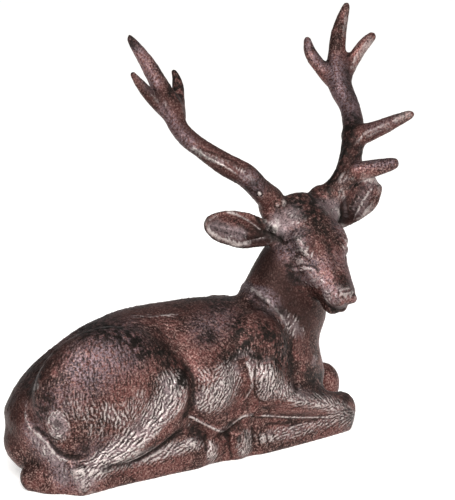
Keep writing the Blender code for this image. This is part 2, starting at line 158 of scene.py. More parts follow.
# The head's own frame: top of the skull, and its forward, left and up directions
POLL = np.array((59.6, -4.6, 150.9))
HEAD_TURN = math.radians(-82.5)
HEAD_DROP = math.radians(43.5)
HEAD_ROLL = math.radians(4)

# The body's middle plane, in mm along Y, which mirrors the near side's carving to the far side
MIDDLE = -7.7

# Where the face, the body and the free forms begin and end, each as the two ends of a soft edge in mm
FACE_MIDDLE = (30, 0, -8)
FACE_REACH = (60, 52)
FACE_BACK = (-16, -8)
CHIN_HEIGHT = (96, 104)
MUZZLE_SIDE = (-42, -46)
BODY_TOP = (140, 120)
FREE_HEIGHT = (104, 112)

# The working skin: the gap that is welded in mm, rounds of smoothing, the share of the shrinking given back,
# and rounds that even out how far the skin is moved back out to the solid
WELD_GAP = 0.01
SMOOTH_ROUNDS = 4
GIVE_BACK = 0.6
FILL_ROUNDS = 6

# The flat underside: how squarely it faces down, and how high above the ground it is still flattened, in mm
UNDERSIDE_FACING = -0.9
UNDERSIDE_RISE = 1.0

# How far a surface has to face the viewer for a form to show, mostly as the two ends of a soft edge
CARVED_FACING = (0.0, 0.35)
SWELLING_FACING = (0, 0.3)
FUR_FACING = (-0.1, 0.2)
ZONE_FACING = (-0.15, 0.15)
COMBED_FACING = 0.2
LEAST_FACING = 0.35

# Soft edges round ovals and paths, as shares of their half width, from nothing to full or from full to nothing
FIELD_EDGE = (1.15, 0.75)
SMOOTH_EDGE = (0.7, 1.5)
STOUTER_EDGE = (1.4, 0.5)
KNOB_EDGE = (1, 0.4)
ZONE_EDGE = (1.8, 0.3)

# Carving drawn on the picture plane, in its pixels: path, half width in pixels, and depth in mm, which is
# negative where the form is raised
THIGH_CARVING = (
    (((171, 357), (190, 371), (194, 390), (188, 410), (172, 425), (157, 441), (140, 458)), 4.5, 0.7),
    (((150, 342), (172, 358), (184, 374), (187, 388), (183, 404), (172, 419)), 3.2, -0.7),
    (((183, 423), (169, 436), (157, 447), (143, 456)), 1.1, -0.7),
    (((147, 380), (151, 400), (136, 432), (112, 460), (86, 478)), 5.0, 0.6),
    (((29, 424), (47, 436), (57, 450), (69, 457), (86, 456)), 3.4, 0.8),
    (((26, 400), (27, 421), (34, 431), (47, 443), (60, 458), (80, 463)), 1.8, -0.4),
    (((72, 468), (84, 465), (88, 478)), 2.2, 0.8),
    (((105, 470), (140, 458), (170, 440), (186, 428)), 2.4, 1.1),
    (((118, 326), (150, 318), (180, 314)), 1.3, -0.5),
)
FRONT_CARVING = (
    (((186, 420), (191, 417), (205, 425), (221, 431), (229, 426), (241, 417), (251, 415)), 1.2, -0.65),
    (((251, 415), (275, 416), (292, 417), (325, 417), (334, 416)), 1.0, -0.6),
    (((190, 405), (203, 417), (221, 423), (238, 410), (247, 404)), 3.0, 0.4),
    (((245, 360), (250, 370), (252, 380), (252, 388)), 1.8, -0.6),
    (((252, 388), (244, 400)), 1.0, -0.5),
    (((253, 388), (258, 399), (266, 403)), 1.2, 0.7),
    (((257, 364), (254, 378), (257, 391)), 1.6, 0.6),
    (((292, 337), (293, 360), (294, 380), (297, 392)), 2.2, 1.0),
    (((259, 410), (290, 409), (325, 411)), 3.0, 0.9),
    (((262, 424), (292, 423), (322, 420)), 2.6, 0.8),
    (((258, 434), (260, 446)), 1.2, 0.6),
    (((266, 433), (269, 445)), 1.2, 0.6),
    (((273, 432), (276, 442)), 1.2, 0.5),
    (((205, 433), (207, 452)), 2.0, 0.9),
    (((226, 432), (229, 448), (232, 460)), 2.4, 1.1),
    (((252, 426), (254, 444)), 2.0, 0.9),
    (((250, 287), (268, 302), (281, 318), (287, 334)), 4.0, -1.0),
    (((243, 296), (258, 311), (270, 325)), 4.0, 0.7),
)

# A drawn stroke fades over this share of its length at each end, to this share of its depth
TAPER_LENGTH = 0.12
TAPER_END = 0.3

# Rounded masses on the picture plane: centre, two half sizes, tilt in degrees, and height in mm
SWELLINGS = (
    ((57, 424), (11, 16), 10, 1.0),
    ((267, 380), (12, 17), 0, 0.7),
    ((214, 391), (22, 22), 30, 0.9),
    ((76, 476), (7, 9), 0, 1.0),
    ((38, 474), (6, 6), 0, 1.2),
    ((192, 441), (12, 8), -25, 0.9),
    ((213, 448), (7, 9), 0, 0.9),
    ((243, 441), (8, 13), 25, 1.0),
    ((292, 324), (10, 10), 0, 1.0),
    ((111, 357), (34, 26), 20, 0.6),
)

# How the fur lies, on the picture plane: place and direction in degrees, with nought to the right
FUR_FLOW = (
    (40, 370, 70), (70, 345, 80), (80, 370, 90), (100, 345, 80), (82, 395, 95), (115, 370, 95),
    (95, 420, 112), (120, 410, 118), (140, 375, 105), (150, 355, 130), (172, 372, 115), (180, 390, 85),
    (175, 405, 60), (160, 425, 45), (140, 445, 38), (110, 468, 32), (90, 478, 30), (70, 340, 55),
    (150, 400, 70),
    (20, 400, 80), (12, 430, 95), (40, 470, 100), (205, 350, 150), (200, 375, 120), (205, 395, 60),
    (225, 400, 55), (235, 385, 60), (225, 370, 40), (245, 370, 100), (280, 345, 88), (284, 370, 88),
    (290, 385, 85), (300, 398, 170), (330, 406, 160), (345, 412, 150), (265, 350, 60), (240, 330, 140),
    (290, 430, 15), (320, 425, 20), (345, 425, 30), (160, 455, 25), (190, 441, 25), (130, 465, 25),
    (213, 448, 80), (243, 441, 65), (290, 325, 60), (270, 300, 130), (130, 325, 170), (180, 325, 175),
    (100, 320, 160), (300, 260, 150), (330, 280, 130), (285, 220, 60),
)
SWIRLS = (((57, 424), 17),)
FLOW_SOFTNESS = 4
FLOW_FALL = 3

# Rows of raised strokes on the thigh: how many, how many in a row, the first, and the steps between
COMBED_ROWS = 4
COMBED_STROKES = 14
COMBED_START = np.array((74, 396))
COMBED_ROW_STEP = np.array((3.2, 9.5))
COMBED_STROKE_STEP = np.array((3.9, 1.4))
COMBED_SCATTER = 0.7

# Least and most half length and half width of the strokes in mm, and how much they bend
DEEP_LENGTHS = (1.6, 3.4)
DEEP_WIDTHS = (0.42, 0.6)
DEEP_BEND = 0.25
COMBED_LENGTHS = (2.4, 3.4)
COMBED_WIDTHS = (0.6, 0.8)
COMBED_BEND = 0.2
SHALLOW_LENGTHS = (1.2, 2.4)
SHALLOW_WIDTHS = (0.45, 0.7)
SHALLOW_BEND = 0.4

# Depths as shares of the stroke depth, and how much the directions stray, in radians
DEEP_DEPTHS = (0.45, 1.0)
COMBED_DEPTHS = (1.0, 1.8)
STRAY = 0.2

# Across a stroke: how high, how far out and how wide the ridge beside the groove is, in half widths
RIDGE_HEIGHT = 0.45
RIDGE_PLACE = 1.7
RIDGE_SPREAD = 0.5

# Where along a stroke its bend is nought, how deep a stroke reaches past its plane in half widths and in mm,
# and how much alike the skin has to face there
BEND_MIDDLE = 0.4
STROKE_REACH = 2.5
STROKE_MARGIN = 1
STROKE_FACING = (0, 0.4)

# Where deep fur strokes lie: centre, two half sizes, tilt in degrees, and how dense
FUR_FIELDS = (
    ((100, 385), (70, 52), 30, 0.7),
    ((160, 400), (26, 40), -30, 0.9),
    ((115, 455), (45, 16), 32, 0.9),
    ((57, 424), (20, 26), 0, 1.0),
    ((216, 388), (28, 28), 30, 1.0),
    ((266, 380), (16, 18), 0, 1.0),
    ((284, 365), (10, 34), 0, 1.0),
    ((315, 403), (40, 9), -12, 0.8),
    ((305, 430), (50, 9), 15, 0.7),
    ((150, 460), (55, 10), 18, 0.8),
    ((213, 448), (8, 12), 0, 0.8),
    ((243, 441), (9, 15), 25, 0.9),
    ((290, 326), (16, 16), 0, 0.25),
    ((240, 340), (40, 20), 0, 0.35),
    ((150, 330), (70, 14), 8, 0.3),
)
SMOOTH_FIELDS = (
    (((171, 357), (190, 371), (194, 390), (188, 410), (172, 425), (157, 441), (140, 458)), 6.0),
    (((29, 424), (47, 436), (57, 450), (69, 457), (86, 456)), 4.0),
    (((34, 440), (46, 455), (58, 478)), 9.0),
    (((251, 392), (250, 408), (258, 414)), 6.0),
    (((262, 412), (300, 413), (325, 414)), 3.5),
    (((6, 400), (4, 430), (14, 460)), 9.0),
    (((305, 330), (304, 360), (306, 390)), 10.0),
    (((57, 418), (58, 431)), 7.0),
)

# Wear and painted light on the picture plane, each zone as a path, its half width in pixels, and its strength.
# The plain name is for the body, HEAD_ for the face, and FREE_ for the antlers, the ears and the neck behind
# them.
# Rubbed: pale metal shows through the paint, and pale painted highlights lie where light falls on the forms,
# as on the thigh band, the belly, the forearm, the forehead and the antler beam
RUBBED_AND_HIGHLIT = (
    (((172, 384), (171, 396), (160, 411), (140, 432), (117, 452), (100, 463), (88, 477)), 13, 1.0),
    (((88, 476), (111, 465), (139, 458), (169, 451), (196, 442)), 7, 0.8),
    (((108, 412), (121, 421)), 9, 0.7),
    (((76, 404), (92, 420), (98, 436)), 12, 0.42),
    (((140, 400), (128, 412)), 10, 0.5),
    (((57, 420), (60, 430)), 9, 1.15),
    (((33, 432), (42, 446), (56, 462), (64, 480)), 7, 0.75),
    (((63, 458), (84, 458)), 3, 0.5),
    (((26, 402), (27, 420)), 3, 0.55),
    (((35, 387), (37, 386)), 3, 0.8),
    (((75, 474), (76, 480)), 6, 0.5),
    (((211, 446), (211, 457)), 6, 0.7),
    (((203, 399), (213, 398), (222, 390), (230, 372)), 13, 0.8),
    (((196, 374), (208, 378)), 8, 0.45),
    (((236, 357), (245, 352), (252, 358), (252, 376)), 5, 0.75),
    (((264, 366), (267, 376), (268, 389)), 11, 0.75),
    (((278, 386), (287, 392), (308, 398), (332, 405), (351, 417)), 9, 0.72),
    (((337, 417), (345, 424)), 9, 0.5),
    (((264, 437), (287, 433), (314, 425), (341, 417)), 7, 0.6),
    (((247, 436), (244, 450)), 7, 0.65),
    (((190, 416), (208, 424), (221, 430), (238, 419), (252, 414)), 1.8, 0.65),
    (((262, 415), (290, 417), (326, 417)), 1.5, 0.75),
    (((160, 450), (184, 430), (192, 421)), 1.5, 0.5),
    (((245, 360), (250, 372), (252, 386), (244, 401)), 2, 0.4),
    (((128, 317), (177, 315)), 1.6, 0.5),
    (((249, 285), (268, 303), (283, 318)), 8, 0.5),
    (((284, 318), (296, 331)), 8, 0.65),
    (((284, 336), (283, 360)), 5, 0.3),
    (((315, 357), (313, 364)), 3, 0.7),
)
HEAD_RUBBED_AND_HIGHLIT = (
    (((292, 214), (284, 219), (278, 227)), 13, 1.0),
    (((301, 233), (296, 244)), 9, 0.45),
    (((304, 250), (310, 256)), 5, 0.55),
    (((298, 258), (299, 262)), 4, 0.45),
    (((290, 268), (302, 268), (312, 269)), 2, 0.5),
    (((304, 273), (320, 285), (331, 295)), 10, 0.55),
    (((343, 291), (350, 295)), 7, 0.6),
    (((340, 240), (341, 250)), 3.5, 0.7),
    (((326, 201), (335, 208), (340, 217)), 7, 0.75),
    (((345, 199), (352, 187)), 5, 0.45),
)
FREE_RUBBED_AND_HIGHLIT = (
    (((217, 227), (226, 231), (239, 234)), 8, 1.1),
    (((228, 211), (245, 219), (259, 229)), 2, 0.55),
    (((223, 246), (245, 243), (266, 238)), 2, 0.45),
    (((205, 215), (205, 224)), 1.5, 0.4),
    (((193, 148), (206, 156), (222, 163)), 3, 0.7),
    (((228, 165), (242, 173), (252, 180)), 4, 0.42),
    (((158, 95), (165, 103)), 5, 0.4),
    (((259, 193), (260, 194)), 2.5, 0.7),
    (((356, 140), (372, 133), (388, 125)), 4, 0.3),
    (((395, 120), (409, 114)), 3, 0.3),
    (((345, 15), (344, 35)), 2.5, 0.35),
    (((352, 66), (358, 56), (368, 42)), 4, 0.35),
    (((368, 186), (359, 208)), 9, 0.75),
    (((344, 198), (346, 216)), 2.5, 0.7),
    (((336, 205), (345, 180)), 6, 0.45),
)
# Violet: a greyish-violet bloom on the paint, partly a painted sheen where the paint would reflect light
VIOLET_AND_SHEEN = (
    (((120, 348), (104, 356), (90, 368)), 22, 1.0),
    (((84, 385), (60, 400)), 16, 0.6),
    (((45, 415), (52, 405)), 10, 0.7),
    (((33, 430), (42, 446), (56, 462), (64, 480)), 9, 0.9),
    (((222, 318), (205, 330)), 14, 0.6),
    (((75, 470), (76, 482)), 9, 0.7),
    (((84, 452), (110, 444)), 8, 0.5),
    (((251, 285), (270, 305)), 9, 0.7),
)
HEAD_VIOLET_AND_SHEEN = (
    (((303, 270), (318, 282), (332, 296)), 12, 0.7),
    (((309, 262), (314, 268)), 8, 0.8),
    (((297, 238), (290, 250)), 12, 0.8),
    (((328, 262), (322, 275)), 9, 0.5),
)
FREE_VIOLET_AND_SHEEN = (
    (((163, 112), (176, 130), (190, 145)), 7, 0.6),
    (((134, 42), (140, 60), (152, 80)), 9, 0.7),
    (((256, 186), (250, 180)), 9, 0.8),
    (((335, 65), (342, 90), (350, 112)), 10, 0.8),
    (((310, 42), (322, 62)), 7, 0.8),
    (((372, 128), (392, 117)), 6, 0.5),
    (((358, 165), (390, 161)), 5, 0.7),
)
# Darkened: black-brown patina in ragged stains, and painted shade in recesses such as between the forelegs,
# under the mouth and in the ear
STAINS_AND_SHADE = (
    (((92, 330), (110, 330), (128, 338), (146, 350)), 13, 1.0),
    (((158, 352), (176, 366), (183, 382)), 10, 1.0),
    (((36, 372), (32, 386)), 9, 0.8),
    (((45, 400), (40, 412)), 9, 0.9),
    (((86, 452), (84, 444)), 5, 0.8),
    (((55, 360), (45, 378)), 12, 0.6),
    (((209, 337), (204, 336)), 8, 0.9),
    (((238, 322), (241, 334), (252, 348)), 10, 1.0),
    (((262, 330), (275, 342), (284, 360)), 12, 1.0),
    (((228, 358), (243, 349), (262, 360)), 6, 1.0),
    (((224, 302), (215, 306)), 9, 0.9),
    (((263, 300), (280, 313)), 6, 0.7),
    (((290, 345), (291, 372)), 6, 0.8),
    (((200, 437), (196, 430)), 6, 0.9),
    (((228, 432), (236, 426), (240, 436)), 6, 0.9),
    (((105, 470), (140, 457), (172, 436)), 4, 0.7),
    (((310, 376), (335, 388), (346, 398)), 9, 0.8),
    (((345, 408), (356, 424)), 6, 0.7),
    (((188, 385), (192, 400), (186, 416)), 3, 0.6),
    (((320, 378), (318, 392)), 7, 0.8),
)
# Shady: painted shade, as darker paint with few specks, where the head's shadow falls on the neck, and on the
# nape, the top of the back and the tail
PAINTED_SHADE = (
    (((262, 262), (278, 290), (300, 318)), 20, 1.0),
    (((300, 322), (306, 345)), 10, 0.5),
    (((250, 262), (240, 280)), 10, 0.9),
    (((12, 400), (10, 440)), 10, 0.8),
    (((120, 318), (200, 306)), 10, 0.5),
    (((20, 400), (60, 345), (110, 322)), 8, 0.6),
)
HEAD_PAINTED_SHADE = (
    (((262, 240), (266, 262), (280, 285), (300, 305)), 17, 1.0),
    (((345, 225), (352, 262), (356, 285)), 7, 0.6),
)
FREE_PAINTED_SHADE = (
    (((258, 245), (250, 262), (240, 280)), 14, 0.9),
    (((206, 213), (212, 240), (250, 246)), 5, 0.8),
    (((150, 92), (172, 126), (200, 150), (255, 190)), 16, 0.6),
    (((342, 72), (350, 120), (336, 170)), 14, 0.6),
    (((360, 140), (392, 124)), 6, 0.4),
)
HEAD_STAINS_AND_SHADE = (
    (((292, 200), (306, 207), (318, 218), (326, 232)), 7, 1.0),
    (((330, 240), (338, 258), (346, 276)), 7, 0.9),
    (((341, 280), (350, 286)), 7, 0.9),
    (((343, 290), (352, 296)), 6, 0.5),
    (((268, 231), (278, 238)), 6, 1.0),
    (((306, 212), (318, 205), (326, 190)), 9, 0.9),
    (((288, 262), (292, 276), (304, 290), (318, 302)), 5, 0.9),
    (((310, 228), (318, 240)), 10, 0.6),
    (((326, 306), (338, 311), (350, 308)), 3, 0.9),
    (((292, 254), (302, 249)), 4, 0.5),
)
FREE_STAINS_AND_SHADE = (
    (((258, 217), (262, 222)), 4, 1.0),
    (((175, 72), (178, 95)), 8, 1.0),
    (((248, 190), (262, 182)), 6, 0.7),
    (((330, 180), (340, 160), (347, 140), (352, 120)), 7, 1.0),
    (((352, 160), (362, 150)), 5, 0.8),
    (((316, 48), (326, 60)), 5, 0.9),
    (((338, 20), (337, 45)), 5, 0.6),
    (((345, 72), (350, 100)), 4, 0.6),
    (((129, 38), (133, 44)), 5, 0.9),
    (((200, 165), (225, 180), (245, 195)), 4, 0.3),
    (((195, 150), (215, 160)), 2.5, 0.7),
    (((352, 188), (358, 184)), 4, 1.0),
    (((290, 198), (330, 192)), 6, 0.9),
)

# Carving of the face on the picture plane, in the same terms
FACE_CARVING = (
    (((292, 262), (295, 257), (300, 255), (305, 257), (308, 261)), 0.9, 0.5),
    (((290, 267), (298, 266.5), (306, 265), (311, 266)), 0.9, 0.5),
    (((289, 255), (296, 250.5), (303, 251), (310, 256)), 1.4, -0.4),
    (((290, 270), (298, 270), (309, 268.5), (314, 271)), 1.1, -0.35),
    (((309, 264), (315, 268), (319, 274)), 1.2, 0.4),
    (((306, 252), (309, 245)), 1.2, -0.45),
    (((311, 258), (314, 249)), 1.2, -0.45),
    (((316, 256), (319, 247)), 1.2, -0.3),
    (((286, 262), (290, 272), (302, 283), (316, 296), (326, 306)), 2.6, 0.6),
    (((325, 305), (331, 309), (338, 310.5), (345, 309.5), (351, 306.5)), 1.1, 1.0),
    (((340, 299), (342.5, 297), (344.5, 299.5)), 1.4, 1.2),
    (((338, 290), (338, 297), (336, 303)), 1.4, 0.4),
    (((341, 292), (349, 291)), 1.3, 0.35),
    (((295, 203), (317, 219), (328, 245), (340, 270), (348, 284)), 3.6, 0.4),
    (((262, 231), (275, 236), (284, 243)), 2.0, 0.7),
)
FREE_CARVING = (
    (((229, 212), (240, 216), (252, 223), (262, 231)), 1.3, -0.45),
    (((224, 217), (238, 223), (250, 231)), 2.6, 0.4),
    (((211, 224), (226, 228), (242, 232), (258, 235)), 1.4, -0.15),
    (((236, 246), (250, 241), (266, 237)), 1.2, -0.35),
    (((258, 215), (261, 221)), 2.0, 1.4),
    (((352, 222), (361, 205), (373, 186)), 1.4, -0.4),
    (((347, 216), (355, 199), (366, 183)), 2.0, 0.3),
    (((358, 219), (368, 206), (377, 192)), 1.6, 0.25),
    (((351, 189), (356, 185)), 1.8, 1.2),
    (((192, 147), (205, 156), (222, 165), (240, 177), (249, 186)), 1.2, -0.4),
    (((190, 152), (205, 162), (222, 172), (238, 184), (250, 194)), 1.8, 0.3),
    (((196, 147), (212, 152), (230, 159), (246, 168)), 1.3, 0.5),
    (((148, 90), (160, 107), (171, 130), (186, 146)), 1.4, -0.3),
    (((154, 90), (165, 108), (176, 128), (190, 142)), 1.6, 0.3),
    (((172, 76), (170, 96)), 1.4, 0.5),
    (((326, 184), (336, 168), (343, 150), (349, 128), (350, 112)), 1.4, 0.5),
    (((334, 184), (344, 166), (351, 148), (358, 134)), 1.2, 0.5),
    (((342, 180), (352, 164), (362, 150)), 1.2, 0.5),
    (((330, 184), (340, 167), (347, 149), (353, 130)), 1.2, -0.35),
    (((356, 146), (364, 134), (382, 126), (404, 116)), 1.2, -0.35),
    (((358, 150), (368, 139), (384, 131)), 1.3, 0.3),
    (((352, 172), (370, 168), (392, 165)), 1.2, 0.3),
    (((345, 8), (341, 28), (342, 50), (338, 72)), 1.2, 0.35),
    (((311, 40), (318, 52), (328, 62), (334, 74)), 1.3, 0.3),
    (((369, 36), (358, 50), (350, 62), (346, 80)), 1.3, 0.3),
)

# Where the antlers are stouter than the solid: path, half width in pixels, and how much in mm
STOUTER = (
    (((356, 172), (372, 168), (394, 164)), 9, 1.9),
    (((356, 142), (380, 130), (408, 114)), 8, 0.8),
    (((336, 75), (348, 115), (343, 150), (330, 180)), 15, 1.0),
    (((352, 66), (360, 54), (370, 38)), 7, 1.0),
    (((344, 10), (340, 40)), 8, 0.5),
    (((376, 176), (368, 205)), 11, 1.2),
    (((312, 42), (322, 58)), 8, 0.7),
    (((215, 238), (245, 244)), 7, 0.7),
    (((135, 45), (150, 70)), 8, 0.4),
)
STOUTER_ROUNDS = 12

# Cut stumps at the foot of the right antler: centre, half width in pixels, and height in mm
KNOBS = (((259.5, 193.5), 3.0, 1.0), ((277.5, 204.5), 3.2, 0.45))
KNOB_RING = 0.6
KNOB_RING_WIDTH = 0.3

# The eyeball on the picture plane: centre, half sizes and tilt in degrees, and how far it stands out in mm
EYE = (299.5, 261.0)
EYE_SIZE = (4.4, 3.3)
EYE_TILT = 12
EYE_HEIGHT = 0.6

# Lumps of the sand-cast skin: size in mm, seed and share of their height
LUMPS = ((1.5, 3, 1.0), (3.2, 5, 0.6))
LUMP_HEIGHT = 0.8
SEED = 7

# Rounds of evening out that show fine and broad hollows, and the depth in mm that counts as full. The hollows
# are darkened as patina in the grooves and as painted shade in the broad hollows
FINE_ROUNDS = 4
BROAD_ROUNDS = 50
FINE_HOLLOW = 0.16
BROAD_HOLLOW = 0.7
BROAD_SHARE = 0.35
FINE_CREST = 0.12
HOLLOW_RANGE = (0.1, 1.0)
HIGH_RANGE = (-0.3, 1.0)

# Odd multipliers that scatter the lattice of the noise
SCATTER = np.array((73856093, 19349663, 83492791))
SEED_SCATTER = 2654435761
MIX_SCATTER = 1274126177

# The stage, in metres and degrees: the floor, where the lights stand, what they look at, and their size
FLOOR_RADIUS = 9.0
FLOOR_SIDES = 96
FLOOR_CLOUD = 3.0
FLOOR_ROUGHNESS = (0.75, 0.82)
FLOOR_MIRRORING = 0.1
KEY_PLACE = (-0.7, -1.15, 0.95)
FILL_PLACE = (0.9, -1.1, 0.35)
LIGHT_TARGET = (0, 0, 0.09)
LIGHT_SIZE = 0.8
OVERHEAD_ANGLE = 70
OVERHEAD_LEAN = (18, 10, 0)


def camera_axes():
    """Right, up and back directions of the camera."""
    back = Vector((
        math.sin(VIEW_TURN) * math.cos(VIEW_RISE),
        -math.cos(VIEW_TURN) * math.cos(VIEW_RISE),
        math.sin(VIEW_RISE),
    ))
    right = Vector((math.cos(VIEW_TURN), math.sin(VIEW_TURN), 0))
    return right, back.cross(right), back


def on_picture(points):
    """Where points, in mm, are seen on the picture plane, in its pixels."""
    right, up, back = (np.array(axis) for axis in camera_axes())
    eye = np.array(AIM) / MM + back * VIEW_DISTANCE / MM
    offset = points - eye
    depth = -(offset @ back)
    focal = VIEW_LENS / VIEW_SENSOR * max(PICTURE)
    u = PICTURE[0] / 2 + focal * (offset @ right) / depth
    v = PICTURE[1] / 2 - focal * (offset @ up) / depth
    return np.stack([u, v], axis=1)


def head_axes():
    """Rows: the head's forward, left and up directions."""
    forward = np.array((
        math.cos(HEAD_TURN) * math.cos(HEAD_DROP),
        math.sin(HEAD_TURN) * math.cos(HEAD_DROP),
        -math.sin(HEAD_DROP),
    ))
    level_left = np.array((-math.sin(HEAD_TURN), math.cos(HEAD_TURN), 0))
    level_up = np.cross(forward, level_left)
    left = math.cos(HEAD_ROLL) * level_left + math.sin(HEAD_ROLL) * level_up
    up = math.cos(HEAD_ROLL) * level_up - math.sin(HEAD_ROLL) * level_left
    return np.array((forward, left, up))


def unit(vectors):
    """The same vectors with length one."""
    return vectors / np.maximum(np.linalg.norm(vectors, axis=-1, keepdims=True), 1e-12)


def smooth_step(low, high, values):
    """Nought below low, one above high, and smooth between."""
    share = np.clip((values - low) / (high - low), 0, 1)
    return share * share * (3 - 2 * share)


def smooth_path(rows, steps=5):
    """Catmull-Rom points through a path."""
    rows = np.array(rows, float)
    rows = np.vstack([2 * rows[0] - rows[1], rows, 2 * rows[-1] - rows[-2]])
    t = np.arange(steps)[:, None] / steps
    stretches = []
    for a, b, c, d in zip(rows, rows[1:], rows[2:], rows[3:]):
        curve = 2 * b + (c - a) * t + (2 * a - 5 * b + 4 * c - d) * t**2 + (3 * b - a - 3 * c + d) * t**3
        stretches.append(curve / 2)
    return np.vstack(stretches + [rows[-2:-1]])


def distance_to_path(places, path):
    """How far each place is from a path, and how far along it the nearest point is, as a share."""
    nearest = np.full(len(places), np.inf)
    along = np.zeros(len(places))
    for index, (start, end) in enumerate(zip(path, path[1:])):
        piece = end - start
        share = np.clip(((places - start) @ piece) / max(piece @ piece, 1e-9), 0, 1)
        gaps = np.linalg.norm(places - start - share[:, None] * piece, axis=1)
        closer = gaps < nearest
        nearest[closer] = gaps[closer]
        along[closer] = ((index + share) / (len(path) - 1))[closer]
    return nearest, along


def in_oval(places, centre, sizes, tilt):
    """Distance from an oval's centre, as a share of its half size, with the tilt in degrees."""
    turn = math.radians(-tilt)
    offset = places - centre
    u = offset[:, 0] * math.cos(turn) + offset[:, 1] * math.sin(turn)
    v = -offset[:, 0] * math.sin(turn) + offset[:, 1] * math.cos(turn)
    return np.hypot(u / sizes[0], v / sizes[1])


def lattice_noise(points, size, seed):
    """Smooth noise between minus one and one, with features of the given size in mm."""
    scaled = points / size
    cell = np.floor(scaled).astype(np.int64)
    share = scaled - cell
    share = share * share * (3 - 2 * share)
    total = np.zeros(len(points))
    for corner in range(8):
        step = np.array((corner & 1, corner >> 1 & 1, corner >> 2 & 1))
        place = cell + step
        mixed = np.bitwise_xor.reduce(place * SCATTER, axis=1) ^ seed * SEED_SCATTER
        mixed = (mixed ^ (mixed >> 13)) * MIX_SCATTER & 0xFFFFFFFF
        value = (mixed ^ (mixed >> 16)) & 0xFFFF
        weight = np.where(step, share, 1 - share).prod(axis=1)
        total += weight * (value / 32767.5 - 1)
    return total


class Skin:
    """The casting's skin as arrays, in mm."""

    def __init__(self, mesh):
        self.mesh = mesh
        count = len(mesh.vertices)
        self.points = np.empty(count * 3)
        mesh.vertices.foreach_get("co", self.points)
        self.points = self.points.reshape(-1, 3) / MM
        self.edges = np.empty(len(mesh.edges) * 2, int)
        mesh.edges.foreach_get("vertices", self.edges)
        self.edges = self.edges.reshape(-1, 2)
        self.quads = np.empty(len(mesh.loops), int)
        mesh.loops.foreach_get("vertex_index", self.quads)
        self.quads = self.quads.reshape(-1, 4)
        self.valence = np.bincount(self.edges.ravel(), minlength=count)

    def normals(self):
        """Outward directions at the points."""
        corners = self.points[self.quads]
        faces = np.cross(corners[:, 2] - corners[:, 0], corners[:, 3] - corners[:, 1])
        sums = np.zeros_like(self.points)
        for corner in self.quads.T:
            for axis in range(3):
                sums[:, axis] += np.bincount(corner, faces[:, axis], len(self.points))
        return unit(sums)

    def spread(self, values, rounds):
        """Values at the points, evened out with their neighbours so many times."""
        values = values.copy()
        for _ in range(rounds):
            sums = np.zeros_like(values)
            for here, there in (self.edges.T, self.edges.T[::-1]):
                for column in range(values.shape[1]):
                    sums[:, column] += np.bincount(here, values[there, column], len(values))
            values = 0.5 * values + 0.5 * sums / self.valence[:, None]
        return values

    def smooth(self, rounds):
        """Evens the surface, giving back what that shrinks."""
        for _ in range(rounds):
            self.points += self.spread(self.points, 2) - self.points
            drop = self.spread(self.points, 2) - self.points
            self.points -= GIVE_BACK * drop

    def fill_out(self, solid, rounds):
        """Gives back what rounding took from thin forms: moves the skin out to the solid, evenly."""
        normals = self.normals()
        gaps = np.empty(len(self.points))
        for index, point in enumerate(self.points * MM):
            nearest = solid.find_nearest(Vector(point))[0]
            gaps[index] = (np.array(nearest) / MM - self.points[index]) @ normals[index]
        self.points += normals * self.spread(gaps[:, None], rounds)

    def raise_by(self, amount):
        """Moves the points out along their normals by so many mm."""
        self.points += self.normals() * amount[:, None]

    def store(self):
        """Puts the points back into the mesh."""
        self.mesh.vertices.foreach_set("co", (self.points * MM).ravel())
        self.mesh.update()


def fine_skin(node, step):
    """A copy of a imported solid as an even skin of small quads, and the solid to measure against."""
    figure = bmesh.new()
    figure.from_mesh(node.data)
    bmesh.ops.remove_doubles(figure, verts=figure.verts, dist=WELD_GAP * MM)
    solid = BVHTree.FromBMesh(figure)
    mesh = bpy.data.meshes.new("deer_skin")
    figure.to_mesh(mesh)
    figure.free()
    rough = bpy.data.objects.new("rough", mesh)
    bpy.context.scene.collection.objects.link(rough)
    rounded = rough.modifiers.new("Rounded", "SUBSURF")
    rounded.levels = rounded.render_levels = 1
    remesh = rough.modifiers.new("Even skin", "REMESH")
    remesh.mode = "VOXEL"
    remesh.voxel_size = step * MM
    bpy.context.view_layer.update()
    skin = bpy.data.meshes.new_from_object(rough.evaluated_get(bpy.context.evaluated_depsgraph_get()))
    bpy.data.objects.remove(rough)
    return skin, solid


class Surface:
    """Where each point of a skin is seen: on the picture plane, on the side it shows or mirrored to it."""

    def __init__(self, skin):
        points, normals = skin.points, skin.normals()
        self.normals = normals
        axes = head_axes()
        self.head = (points - POLL) @ axes.T
        reach = np.linalg.norm(self.head - FACE_MIDDLE, axis=1)
        self.on_head = smooth_step(*FACE_REACH, reach) * smooth_step(*FACE_BACK, self.head[:, 0])
        self.on_head *= smooth_step(*CHIN_HEIGHT, points[:, 2]) + smooth_step(*MUZZLE_SIDE, points[:, 1])
        self.on_head = np.clip(self.on_head, 0, 1)
        self.on_body = smooth_step(*BODY_TOP, points[:, 2]) * (1 - self.on_head)
        view = np.array(camera_axes()[2])

        side = np.where(points[:, 1] > MIDDLE, -1.0, 1.0)[:, None] * (0, 1, 0) + (1, 0, 1)
        self.body_side = side
        flipped = (points - (0, MIDDLE, 0)) * side + (0, MIDDLE, 0)
        self.body_picture = on_picture(flipped)
        self.body_facing = (normals * side) @ view

        head_normals = normals @ axes.T
        turn = np.where(self.head[:, 1] > 0, -1.0, 1.0)[:, None] * (0, 1, 0) + (1, 0, 1)
        self.face_picture = on_picture((self.head * turn) @ axes + POLL)
        self.face_facing = ((head_normals * turn) @ axes) @ view
        self.picture = on_picture(points)
        self.facing = normals @ view


